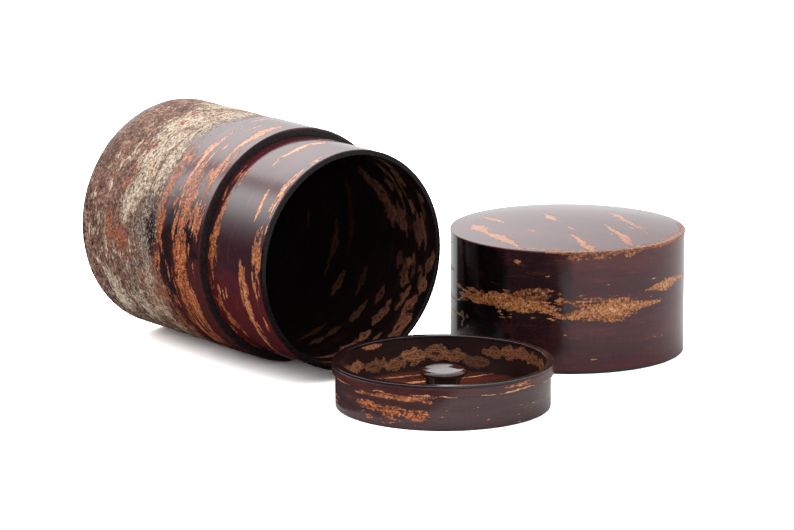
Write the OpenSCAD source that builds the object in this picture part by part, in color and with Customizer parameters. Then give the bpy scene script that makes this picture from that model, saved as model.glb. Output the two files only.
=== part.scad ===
// Cherry-bark tea caddy, opened: the body lies on its side, the inner lid stands in
// front of the mouth and the outer lid stands beside it.
// Millimetres, +Z up, mouth towards -Y. The origin is on the table, under the middle
// of the whole group.

/* [Body tube] */
// Outside diameter of the caddy and of its outer lid
outer_d = 80; // [60:1:110]
// Length of the outer tube, from the foot to the shoulder
body_len = 70; // [50:1:120]
// Thickness of the bark wrapped around the outer tube and the outer lid
bark_t = 0.6; // [0.4:0.05:1]
// Thickness of the outer tube's wooden core
body_core_t = 2.25; // [1.6:0.05:3.5]
// Depth of the lacquered ring that closes the core at the shoulder
shoulder_ring_t = 1.2; // [0.6:0.1:2.5]

/* [Sleeve] */
// How far the sleeve stands out of the shoulder
sleeve_rise = 31.5; // [18:0.5:45]
// Thickness of the bark wrapped around the sleeve
sleeve_wrap_t = 0.5; // [0.3:0.05:0.8]
// Thickness of the sleeve's wooden core
sleeve_core_t = 0.75; // [0.6:0.05:1.5]
// Thickness of the bark lining inside the sleeve
sleeve_lining_t = 0.5; // [0.3:0.05:0.8]
// Depth of the lacquered ring on the sleeve's mouth
sleeve_rim_t = 0.9; // [0.6:0.1:1.5]

/* [Base] */
// Thickness of the wooden base board
base_board_t = 3; // [2:0.1:6]
// Thickness of the bark on the outside of the base
base_facing_t = 0.6; // [0.3:0.05:1]
// Thickness of the bark on the inside of the base
base_lining_t = 0.5; // [0.3:0.05:1]

/* [Outer lid] */
// Radial play between the sleeve and the outer lid
lid_play = 0.15; // [0.05:0.05:0.4]
// Free height over the inner lid when the caddy is closed
head_room = 3.2; // [1:0.1:8]
// Thickness of the bark lining inside the outer lid
lid_lining_t = 0.5; // [0.3:0.05:0.8]
// Depth of the lacquered ring on the outer lid's mouth
lid_rim_t = 0.9; // [0.6:0.1:1.5]
// Thickness of the bark on the ceiling of the outer lid
ceiling_bark_t = 0.5; // [0.3:0.05:1]
// Thickness of the domed top board at its edge
top_board_t = 2.2; // [1.5:0.1:5]
// Height of the dome above the edge of the top
dome_rise = 3.5; // [1:0.1:6]
// Thickness of the bark on the domed top
top_bark_t = 0.5; // [0.3:0.05:1]
// How far the top bark stands proud of the lid's side
top_lip = 0.2; // [0.05:0.05:0.5]

/* [Inner lid] */
// Radial play between the inner lid and the sleeve
plug_play = 0.35; // [0.15:0.05:0.6]
// How deep the inner lid reaches into the sleeve
plug_depth = 11.1; // [8:0.1:18]
// Height of the collar that stops the inner lid on the sleeve
collar_h = 3.8; // [2.5:0.1:6]
// How far the collar overlaps the sleeve's rim
collar_seat = 0.65; // [0.4:0.05:1]
// Thickness of the bark around the inner lid's band
band_bark_t = 0.45; // [0.3:0.05:0.6]
// Thickness of the band's wooden core
band_core_t = 0.55; // [0.4:0.05:1]
// Thickness of the bark lining inside the band
band_lining_t = 0.45; // [0.3:0.05:0.8]
// Depth of the lacquered ring on the inner lid's rim
band_rim_t = 0.9; // [0.6:0.1:1.5]
// Thickness of the inner lid's wooden board
plug_board_t = 2.05; // [1.5:0.05:3]
// Thickness of the bark under the board
plug_under_t = 0.45; // [0.3:0.05:0.8]
// Thickness of the bark on top of the board
plug_floor_t = 0.5; // [0.3:0.05:0.8]

/* [Knob] */
// Diameter of the knob's dished head
knob_d = 15.3; // [12:0.1:24]
// Thickness of the knob's head
knob_head_t = 2.2; // [1.5:0.1:3]
// Depth of the dish in the knob's head
knob_dish = 0.8; // [0.2:0.1:1]
// Width of the plain lip around the dish
knob_lip = 0.9; // [0.5:0.1:2]
// Diameter of the knob's foot
knob_foot_d = 12.6; // [10:0.1:18]
// How far the waist is drawn in from the foot
knob_waist_in = 0.6; // [0.3:0.1:1]
// Thickness of the knob's foot
knob_foot_t = 0.9; // [0.5:0.1:1.5]
// How far the knob's head stays below the inner lid's rim
knob_recess = 3.1; // [2:0.1:3.5]
// Diameter of the wooden pin that holds the knob
pin_d = 4.5; // [3:0.1:6]
// How deep the pin reaches into the knob
pin_depth = 4; // [2:0.1:4.5]

/* [Rims] */
// Radius that eases the edges of the lacquered rims
rim_round = 0.45; // [0.1:0.05:0.45]

/* [How the pieces stand] */
// Gap along X between the body's side and the outer lid
lid_gap = 5.4; // [2:0.1:40]
// How far the middle of the outer lid stands in front of the mouth
lid_forward = 8.7; // [0:0.1:30]
// Gap between the mouth and the inner lid's collar
plug_gap = 9.6; // [4:0.1:40]
// How far the inner lid stands to the right of the body's axis
plug_right = 2.25; // [-10:0.05:10]

/* [Hidden] */
$fn = 96;
outer_r = outer_d / 2;
core_r = outer_r - bark_t;
sleeve_r = core_r - body_core_t;
sleeve_core_r = sleeve_r - sleeve_wrap_t;
sleeve_lining_r = sleeve_core_r - sleeve_core_t;
sleeve_bore_r = sleeve_lining_r - sleeve_lining_t;
board_top = base_facing_t + base_board_t;
caddy_len = body_len + sleeve_rise;

lid_bore_r = sleeve_r + lid_play;
lid_lining_r = lid_bore_r + lid_lining_t;
lid_depth = sleeve_rise + collar_h + head_room;
lid_board_z = lid_depth + ceiling_bark_t;
lid_board_edge_z = lid_board_z + top_board_t;
lid_crease_z = lid_board_edge_z + top_bark_t;
top_r = outer_r + top_lip;
dome_r = (outer_r * outer_r + dome_rise * dome_rise) / (2 * dome_rise);

plug_r = sleeve_bore_r - plug_play;
collar_r = sleeve_bore_r + collar_seat;
band_core_r = plug_r - band_bark_t;
board_r = band_core_r - band_core_t;
dish_r = board_r - band_lining_t;
plug_h = plug_depth + collar_h;
band_top = plug_h - band_rim_t;
plug_board_top = plug_under_t + plug_board_t;
plug_floor = plug_board_top + plug_floor_t;

knob_h = plug_h - knob_recess - plug_floor;
knob_r = knob_d / 2;
knob_foot_r = knob_foot_d / 2;
knob_neck_h = knob_h - knob_foot_t - knob_head_t;
dish_edge_r = knob_r - knob_lip;
pin_r = pin_d / 2;

// How far the shape before a cut reaches past it
past = 1;
lid_x = 2 * outer_r + lid_gap;
plug_y = -plug_gap - collar_r;
group_mid_x = (lid_x + top_r - outer_r) / 2;
group_mid_y = (caddy_len + plug_y - collar_r) / 2;

// The middle of a circle that bulges by rise over a half chord
function arc_radius(half_chord, rise) = (half_chord * half_chord + rise * rise) / (2 * rise);

// ---------- where the three groups stand ----------

// Lays the body on its side: its own z = 0 is the foot, its mouth ends up at -Y
module lying() {
    translate([-group_mid_x, caddy_len - group_mid_y, outer_r])
        rotate([90, 0, 0])
            children();
}

module outer_lid_place() {
    translate([lid_x - group_mid_x, -lid_forward - group_mid_y, 0]) children();
}

module inner_lid_place() {
    translate([plug_right - group_mid_x, plug_y - group_mid_y, 0]) children();
}

// ---------- shapes that repeat ----------

module ring(r_in, r_out, z_low, z_high) {
    rotate_extrude()
        translate([r_in, z_low])
            square([r_out - r_in, z_high - z_low]);
}

module disc(r, z_low, z_high) {
    translate([0, 0, z_low]) cylinder(r = r, h = z_high - z_low);
}

// A lacquered rim with its two upper edges eased, standing on z = 0
module eased_rim(r_in, r_out, depth) {
    ease = min(rim_round, (r_out - r_in) / 2);
    rotate_extrude() {
        translate([r_in, 0]) square([r_out - r_in, depth - ease]);
        translate([r_in + ease, 0]) square([r_out - r_in - 2 * ease, depth]);
        translate([r_in + ease, depth - ease]) circle(r = ease);
        translate([r_out - ease, depth - ease]) circle(r = ease);
    }
}

// Everything under the lid's dome, whose edge is at edge_z where the side ends
module under_dome(edge_z) {
    translate([0, 0, edge_z + dome_rise - dome_r]) sphere(r = dome_r, $fn = 360);
}

// ---------- body, lying ----------

module body_bark_wrap() {
    color("saddlebrown") lying() ring(core_r, outer_r, 0, body_len);
}

module body_core_tube() {
    color("burlywood") lying()
        ring(sleeve_r, core_r, base_facing_t, body_len - shoulder_ring_t);
}

module shoulder_ring() {
    color("black") lying() ring(sleeve_r, core_r, body_len - shoulder_ring_t, body_len);
}

module sleeve_bark_wrap() {
    color("maroon") lying()
        ring(sleeve_core_r, sleeve_r, board_top, caddy_len - sleeve_rim_t);
}

module sleeve_core_tube() {
    color("burlywood") lying()
        ring(sleeve_lining_r, sleeve_core_r, board_top, caddy_len - sleeve_rim_t);
}

module sleeve_bark_lining() {
    color("sienna") lying()
        ring(sleeve_bore_r, sleeve_lining_r, board_top, caddy_len - sleeve_rim_t);
}

module sleeve_rim_edge() {
    color("dimgray") lying()
        translate([0, 0, caddy_len - sleeve_rim_t])
            eased_rim(sleeve_bore_r, sleeve_r, sleeve_rim_t);
}

module base_board() {
    color("tan") lying() disc(sleeve_r, base_facing_t, board_top);
}

module base_bark_facing() {
    color("maroon") lying() disc(core_r, 0, base_facing_t);
}

module base_bark_lining() {
    color("sienna") lying() disc(sleeve_bore_r, board_top, board_top + base_lining_t);
}

// ---------- outer lid, standing on its mouth ----------

module outer_lid_bark_wrap() {
    color("saddlebrown") outer_lid_place() intersection() {
        ring(core_r, outer_r, lid_rim_t, lid_crease_z);
        under_dome(lid_board_edge_z);
    }
}

module outer_lid_core_tube() {
    color("burlywood") outer_lid_place() ring(lid_lining_r, core_r, lid_rim_t, lid_board_z);
}

module outer_lid_bark_lining() {
    color("sienna") outer_lid_place() ring(lid_bore_r, lid_lining_r, lid_rim_t, lid_depth);
}

module outer_lid_rim_edge() {
    color("black") outer_lid_place()
        translate([0, 0, lid_rim_t])
            mirror([0, 0, 1])
                eased_rim(lid_bore_r, outer_r, lid_rim_t);
}

module outer_lid_top_board() {
    color("tan") outer_lid_place() intersection() {
        disc(core_r, lid_board_z, lid_crease_z + dome_rise);
        under_dome(lid_board_edge_z);
    }
}

module outer_lid_top_bark() {
    color("maroon") outer_lid_place() difference() {
        intersection() {
            disc(top_r, lid_board_edge_z - past, lid_crease_z + dome_rise + past);
            under_dome(lid_crease_z);
        }
        under_dome(lid_board_edge_z);
    }
}

module outer_lid_ceiling_bark() {
    color("sienna") outer_lid_place() disc(lid_lining_r, lid_depth, lid_board_z);
}

// ---------- inner lid, standing on its underside ----------

module inner_lid_band_bark() {
    color("saddlebrown") inner_lid_place()
        ring(band_core_r, plug_r, plug_under_t, band_top);
}

module inner_lid_band_core() {
    color("burlywood") inner_lid_place() ring(board_r, band_core_r, plug_under_t, band_top);
}

module inner_lid_band_lining() {
    color("sienna") inner_lid_place() ring(dish_r, board_r, plug_floor, band_top);
}

module inner_lid_collar() {
    color("maroon") inner_lid_place() ring(plug_r, collar_r, plug_depth, band_top);
}

module inner_lid_rim_edge() {
    color("dimgray") inner_lid_place()
        translate([0, 0, band_top])
            eased_rim(dish_r, collar_r, band_rim_t);
}

module inner_lid_board() {
    color("tan") inner_lid_place() ring(pin_r, board_r, plug_under_t, plug_board_top);
}

module inner_lid_floor_bark() {
    color("firebrick") inner_lid_place() ring(pin_r, board_r, plug_board_top, plug_floor);
}

module inner_lid_underside_bark() {
    color("maroon") inner_lid_place() disc(plug_r, 0, plug_under_t);
}

// Half outline of the turned knob, standing on z = 0, before it is dished and bored
module knob_outline() {
    waist_arc_r = arc_radius(knob_neck_h / 2, knob_waist_in);
    difference() {
        square([knob_foot_r, knob_h - knob_head_t]);
        translate([knob_foot_r - knob_waist_in + waist_arc_r, knob_foot_t + knob_neck_h / 2])
            circle(r = waist_arc_r);
    }
    translate([0, knob_h - knob_head_t]) square([knob_r - knob_head_t / 2, knob_head_t]);
    translate([knob_r - knob_head_t / 2, knob_h - knob_head_t / 2]) circle(r = knob_head_t / 2);
}

module inner_lid_knob() {
    dish_arc_r = arc_radius(dish_edge_r, knob_dish);
    color("brown") inner_lid_place()
        translate([0, 0, plug_floor])
            rotate_extrude() difference() {
                knob_outline();
                translate([0, knob_h - knob_dish + dish_arc_r]) circle(r = dish_arc_r);
                translate([0, -past]) square([pin_r, pin_depth + past]);
            }
}

module inner_lid_knob_pin() {
    color("wheat") inner_lid_place() disc(pin_r, plug_under_t, plug_floor + pin_depth);
}

body_bark_wrap();
body_core_tube();
shoulder_ring();
sleeve_bark_wrap();
sleeve_core_tube();
sleeve_bark_lining();
sleeve_rim_edge();
base_board();
base_bark_facing();
base_bark_lining();
outer_lid_bark_wrap();
outer_lid_core_tube();
outer_lid_bark_lining();
outer_lid_rim_edge();
outer_lid_top_board();
outer_lid_top_bark();
outer_lid_ceiling_bark();
inner_lid_band_bark();
inner_lid_band_core();
inner_lid_band_lining();
inner_lid_collar();
inner_lid_rim_edge();
inner_lid_board();
inner_lid_floor_bark();
inner_lid_underside_bark();
inner_lid_knob();
inner_lid_knob_pin();
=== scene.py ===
"""Cherry-bark tea caddy, opened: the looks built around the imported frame.

The caddy's body lies on its side, its inner lid stands in front of the mouth and its outer
lid stands beside it. Every layer of bark, lacquered rim and the knob is turned here as a
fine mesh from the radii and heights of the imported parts. Lengths in the classes below are
millimetres on the piece's own axis; meshes are written in metres in the shared frame.
"""

import logging
import math
from dataclasses import dataclass, field
from enum import Enum
from typing import Sequence, Union

import bpy
import numpy as np
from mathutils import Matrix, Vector


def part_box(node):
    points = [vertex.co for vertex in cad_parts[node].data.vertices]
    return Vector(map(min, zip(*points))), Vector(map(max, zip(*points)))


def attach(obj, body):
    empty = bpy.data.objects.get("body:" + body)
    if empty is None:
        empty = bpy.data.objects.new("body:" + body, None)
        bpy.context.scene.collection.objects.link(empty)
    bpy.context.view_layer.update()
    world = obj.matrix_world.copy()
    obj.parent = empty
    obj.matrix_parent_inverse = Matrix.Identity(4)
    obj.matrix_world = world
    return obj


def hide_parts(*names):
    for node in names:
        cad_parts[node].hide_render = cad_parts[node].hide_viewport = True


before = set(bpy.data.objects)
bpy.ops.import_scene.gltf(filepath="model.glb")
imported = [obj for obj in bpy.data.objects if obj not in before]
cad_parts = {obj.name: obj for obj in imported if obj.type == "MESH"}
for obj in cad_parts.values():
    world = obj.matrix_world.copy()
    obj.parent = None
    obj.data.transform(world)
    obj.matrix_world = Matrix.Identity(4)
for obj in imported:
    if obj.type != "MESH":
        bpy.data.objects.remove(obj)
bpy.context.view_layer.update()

LOG = logging.getLogger("tea_caddy")
MM = 0.001
# Bearing from -Y, towards +X, of the side that the group turns to the viewer, in degrees
SHOWN_SIDE = -37.65

Colour = tuple[float, float, float]
Stops = tuple[tuple[float, Colour], ...]
Outline = list[tuple[float, float]]
Operand = Union["Sock", float, tuple]
Array = np.ndarray


# ------------------------------------------------------------------ shader writing


class Sock:
    """One output socket, with the arithmetic that the finishes use."""

    def __init__(self, shader: "Shader", socket: bpy.types.NodeSocket) -> None:
        """Wraps a socket.

        Args:
            shader: the material being written.
            socket: the output socket.
        """
        self.shader = shader
        self.socket = socket

    @property
    def wide(self) -> bool:
        """True for a colour or a vector."""
        return self.socket.type in ("RGBA", "VECTOR")

    def _maths(self, operation: str, other: Operand, swapped: bool = False) -> "Sock":
        """Adds one Math or Vector Math node.

        Args:
            operation: the node's operation.
            other: the second operand.
            swapped: True if other comes first.

        Returns:
            The node's result.
        """
        vector = self.wide or isinstance(other, tuple) or (isinstance(other, Sock) and other.wide)
        if vector and isinstance(other, (int, float)):
            other = (other,) * 3
        pair = (other, self) if swapped else (self, other)
        kind = "ShaderNodeVectorMath" if vector else "ShaderNodeMath"
        return self.shader.node(kind, {"operation": operation}, {0: pair[0], 1: pair[1]})

    def __add__(self, other: Operand) -> "Sock":
        """self + other."""
        return self._maths("ADD", other)

    def __sub__(self, other: Operand) -> "Sock":
        """self - other."""
        return self._maths("SUBTRACT", other)

    def __mul__(self, other: Operand) -> "Sock":
        """self * other."""
        return self._maths("MULTIPLY", other)

    def __rsub__(self, other: Operand) -> "Sock":
        """other - self."""
        return self._maths("SUBTRACT", other, swapped=True)

    __radd__ = __add__
    __rmul__ = __mul__


class Lie(Enum):
    """How a sheet of bark or a board lies, as the mm-to-pattern scale of its long grain."""

    ROUND_BODY = (0.12, 1.0, 0.12)
    ROUND_LID = (0.12, 0.12, 1.0)
    FLAT = (0.12, 1.0, 1.0)
    EVEN = (1.0, 1.0, 1.0)


class Shader:
    """Writes the node tree of one material or of the surroundings."""

    def __init__(self, owner: Union[bpy.types.Material, bpy.types.World]) -> None:
        """Starts from an empty tree.

        Args:
            owner: the new material or world.
        """
        owner.use_nodes = True
        self.owner = owner
        self.tree = owner.node_tree
        self.tree.nodes.clear()

    @classmethod
    def for_material(cls, name: str) -> "Shader":
        """Starts a material."""
        return cls(bpy.data.materials.new(name))

    def node(self, kind: str, settings: dict[str, object] | None = None,
             inputs: dict[Union[str, int], Operand] | None = None,
             output: Union[str, int] = 0) -> Sock:
        """Adds any node.

        Args:
            kind: the node's type.
            settings: its properties, set before its sockets; "stops" fills a ramp.
            inputs: socket name or index to a value or a link.
            output: the socket to return.

        Returns:
            The chosen output.
        """
        made = self.tree.nodes.new(kind)
        for key, value in (settings or {}).items():
            if key == "stops":
                self._fill_ramp(made.color_ramp, value)
            else:
                setattr(made, key, value)
        for key, value in (inputs or {}).items():
            if isinstance(value, Sock):
                self.tree.links.new(value.socket, made.inputs[key])
            elif isinstance(value, tuple) and made.inputs[key].type == "RGBA":
                made.inputs[key].default_value = (*value, 1.0)
            else:
                made.inputs[key].default_value = value
        return Sock(self, made.outputs[output])

    @staticmethod
    def _fill_ramp(ramp: bpy.types.ColorRamp, stops: Stops) -> None:
        """Sets a ramp's stops.

        Args:
            ramp: the ramp.
            stops: position and colour of each stop, in order.
        """
        ramp.elements[0].position, ramp.elements[-1].position = stops[0][0], stops[-1][0]
        for position, _ in stops[1:-1]:
            ramp.elements.new(position)
        for element, (_, colour) in zip(ramp.elements, stops):
            element.color = (*colour, 1.0)

    def field(self, mark: "Mark") -> Sock:
        """How deep inside the painted marks of one kind a point lies."""
        return self.node("ShaderNodeAttribute", {"attribute_name": mark.value}, output="Fac")

    def place(self, lie: Lie, turn: float = 0.0, shift: float = 0.0) -> Sock:
        """Pattern coordinates in millimetres, drawn out along the grain.

        Args:
            lie: how the sheet lies.
            turn: turn of the grain about the upright axis, in degrees.
            shift: offset that makes one sheet differ from the next, in millimetres.

        Returns:
            A vector.
        """
        own = self.node("ShaderNodeTexCoord", output="Object")
        turned = own if not turn else self.node(
            "ShaderNodeVectorRotate", {"rotation_type": "Z_AXIS"},
            {"Vector": own, "Angle": math.radians(turn)})
        per_metre = tuple(scale / MM for scale in lie.value)
        return turned * per_metre + (shift, 0.7 * shift, 0.3 * shift)

    def noise(self, where: Sock, size: float, detail: float = 3.0, rough: float = 0.55,
              warp: float = 0.0) -> Sock:
        """Noise from about 0.3 to 0.7 round 0.5.

        Args:
            where: pattern coordinates.
            size: about how wide its lumps are in pattern units.
            detail: how many finer layers it has.
            rough: how strong the finer layers are.
            warp: how far it is twisted.

        Returns:
            A value.
        """
        return self.node("ShaderNodeTexNoise", {"noise_dimensions": "3D"}, {
            "Vector": where, "Scale": 1.0 / size, "Detail": detail, "Roughness": rough,
            "Distortion": warp})

    def smooth(self, value: Operand, low: float, high: float) -> Sock:
        """0 below low, 1 above high and smooth between them."""
        return self.node("ShaderNodeMapRange", {"interpolation_type": "SMOOTHSTEP"},
                         {"Value": value, "From Min": low, "From Max": high})

    def mix(self, share: Operand, first: Operand, second: Operand) -> Sock:
        """Blends two colours by share."""
        return self.node("ShaderNodeMix", {"data_type": "RGBA"}, {0: share, 6: first, 7: second}, 2)

    def ramp(self, value: Sock, stops: Stops) -> Sock:
        """Colours a value by a ramp."""
        return self.node("ShaderNodeValToRGB", {"stops": stops}, {"Fac": value}, "Color")

    def bump(self, height: Sock, depth: float) -> Sock:
        """A normal bent by height, where 1 stands depth millimetres high."""
        return self.node("ShaderNodeBump", {}, {"Height": height, "Distance": depth * MM}, "Normal")

    def finish(self, colour: Operand, rough: Operand, normal: Sock | None = None,
               **constants: float) -> bpy.types.Material:
        """Closes the tree with a Principled surface.

        Args:
            colour: base colour.
            rough: roughness.
            normal: bent normal, if any.
            constants: other sockets by name, with _ for spaces, as plain numbers.

        Returns:
            The material.
        """
        inputs: dict[Union[str, int], Operand] = {"Base Color": colour, "Roughness": rough}
        if normal is not None:
            inputs["Normal"] = normal
        inputs.update({key.replace("_", " "): value for key, value in constants.items()})
        self.close("ShaderNodeOutputMaterial", self.node("ShaderNodeBsdfPrincipled", {}, inputs, "BSDF"))
        return self.owner

    def close(self, kind: str, surface: Sock) -> None:
        """Links a surface to the tree's output node."""
        out = self.tree.nodes.new(kind)
        self.tree.links.new(surface.socket, out.inputs["Surface"])


# ------------------------------------------------------------------ marks in the bark


class Mark(Enum):
    """The kinds of mark that are painted on a sheet of bark, by attribute name."""

    STREAK = "streak"
    # Paleness of lenticels; in a lining it sets the eyes' brightness, which holds painted shade in the
    # sleeve.
    PALE = "pale"
    RAW = "raw"
    LICHEN = "lichen"
    # Charred patches on raw bark; on polished bark and on the knob's neck this mark places painted shade.
    CHARCOAL = "charcoal"
    # Rusty patches on raw bark and a maroon tone on polished bark; on the outer lid's side this mark places
    # painted shade.
    RUST = "rust"


@dataclass(frozen=True)
class Spot:
    """One lenticel, streak or patch, placed on the unrolled sheet.

    Attributes:
        around: place round the tube in degrees, or across a flat sheet in mm.
        along: place along the tube's axis, or up a flat sheet, in mm.
        length: length in mm.
        width: width in mm.
        turn: turn of its long side in degrees.
        pale: 0 is orange and 1 is cream; in a lining it sets how bright an eye is, and there low values
            deeper in the sleeve are painted shade.
        point: how sharply its ends taper; 0.5 is round and 2 is a needle.
    """

    around: float
    along: float
    length: float
    width: float
    turn: float = 0.0
    pale: float = 0.3
    point: float = 0.8

    OUTSIDE = -2.0

    def depth(self, s: Array, h: Array, radius: float | None) -> Array:
        """How far inside the spot each point lies.

        Args:
            s: mm round the tube or across the sheet.
            h: mm along the tube or up the sheet.
            radius: the tube's radius, or None for a flat sheet.

        Returns:
            1 in the middle, 0 at the spot's edge and less outside.
        """
        per_degree = math.radians(radius) if radius else 1.0
        ds = s - self.around * per_degree
        if radius:
            girth = 2.0 * math.pi * radius
            ds = (ds + girth / 2.0) % girth - girth / 2.0
        dh = h - self.along
        cos, sin = math.cos(math.radians(self.turn)), math.sin(math.radians(self.turn))
        u = 2.0 * np.abs(ds * cos + dh * sin) / self.length
        v = 2.0 * np.abs(dh * cos - ds * sin) / self.width
        end = 1.0 - u
        return np.clip(np.sign(end) * np.abs(end) ** self.point - v, self.OUTSIDE, 1.0)


@dataclass(frozen=True)
class Drift:
    """Many short lenticels strewn over one patch of a sheet.

    Attributes:
        around: both ends of the patch, in degrees on a tube and mm on a flat sheet.
        along: the patch's low and high side in mm.
        count: number of lenticels.
        length: usual length in mm.
        width: usual width in mm.
        turn: turn of their long side in degrees.
        pale: 0 is orange and 1 is cream.
    """

    around: tuple[float, float]
    along: tuple[float, float]
    count: int
    length: float = 7.0
    width: float = 1.1
    turn: float = 0.0
    pale: float = 0.3

    def spots(self, seed: int) -> list[Spot]:
        """Draws the lenticels.

        Args:
            seed: the random seed.

        Returns:
            One spot for each.
        """
        draw = np.random.default_rng(seed)
        return [Spot(draw.uniform(*self.around), draw.uniform(*self.along),
                     self.length * draw.uniform(0.4, 1.5), self.width * draw.uniform(0.5, 1.5),
                     self.turn + draw.uniform(-2.0, 2.0), self.pale + draw.uniform(-0.25, 0.25),
                     draw.uniform(0.5, 1.2)) for _ in range(self.count)]


Marks = tuple[Union[Spot, Drift], ...]


class Lumps:
    """Seeded smooth noise for relief, on a lattice that repeats far outside the object."""

    CELLS = 48

    def __init__(self, seed: int) -> None:
        """Draws the lattice.

        Args:
            seed: the random seed.
        """
        self.lattice = np.random.default_rng(seed).uniform(-1.0, 1.0, (self.CELLS,) * 3)

    def at(self, points: Array, size: float) -> Array:
        """Noise from -1 to 1.

        Args:
            points: places, one row each, in mm.
            size: about how wide one lump is, in mm.

        Returns:
            One value per point.
        """
        scaled = points / size
        cell = np.floor(scaled).astype(int)
        part = scaled - cell
        part = part * part * (3.0 - 2.0 * part)
        total = np.zeros(len(points))
        for corner in np.ndindex(2, 2, 2):
            x, y, z = ((cell[:, k] + corner[k]) % self.CELLS for k in range(3))
            share = np.prod([part[:, k] if corner[k] else 1.0 - part[:, k] for k in range(3)], axis=0)
            total += share * self.lattice[x, y, z]
        return total


# ------------------------------------------------------------------ turned meshes


@dataclass(frozen=True)
class Span:
    """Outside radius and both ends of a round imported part, in mm on its own axis."""

    radius: float
    low: float
    high: float


@dataclass(frozen=True)
class Axis:
    """Where a round piece stands: its foot, its axis and the side that counts as 0 degrees.

    Attributes:
        body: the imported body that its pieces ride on.
        foot: the point on the axis at height 0, in metres.
        along: unit vector up the axis.
        zero: unit vector to the side at 0 degrees.
    """

    body: str
    foot: Vector
    along: Vector
    zero: Vector

    @property
    def quarter(self) -> Vector:
        """Unit vector to the side at 90 degrees."""
        return self.along.cross(self.zero)

    def points(self, radius: Array, angle: Array, height: Array) -> Array:
        """Places in the shared frame.

        Args:
            radius: distances from the axis in mm.
            angle: angles round it in radians.
            height: heights above the foot in mm.

        Returns:
            One row each, in metres.
        """
        along, zero, quarter = (np.array(v) for v in (self.along, self.zero, self.quarter))
        return (np.array(self.foot) + MM * (
            (radius * np.cos(angle))[:, None] * zero + (radius * np.sin(angle))[:, None] * quarter
            + height[:, None] * along))

    def span(self, node: str) -> Span:
        """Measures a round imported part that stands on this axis.

        Args:
            node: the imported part.

        Returns:
            Its radius and ends.
        """
        low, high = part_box(node)
        ends = sorted((corner - self.foot).dot(self.along) / MM for corner in (low, high))
        half = (high - low) / 2.0
        across = half - self.along * half.dot(self.along)
        return Span(max(abs(x) for x in across) / MM, *ends)


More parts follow.
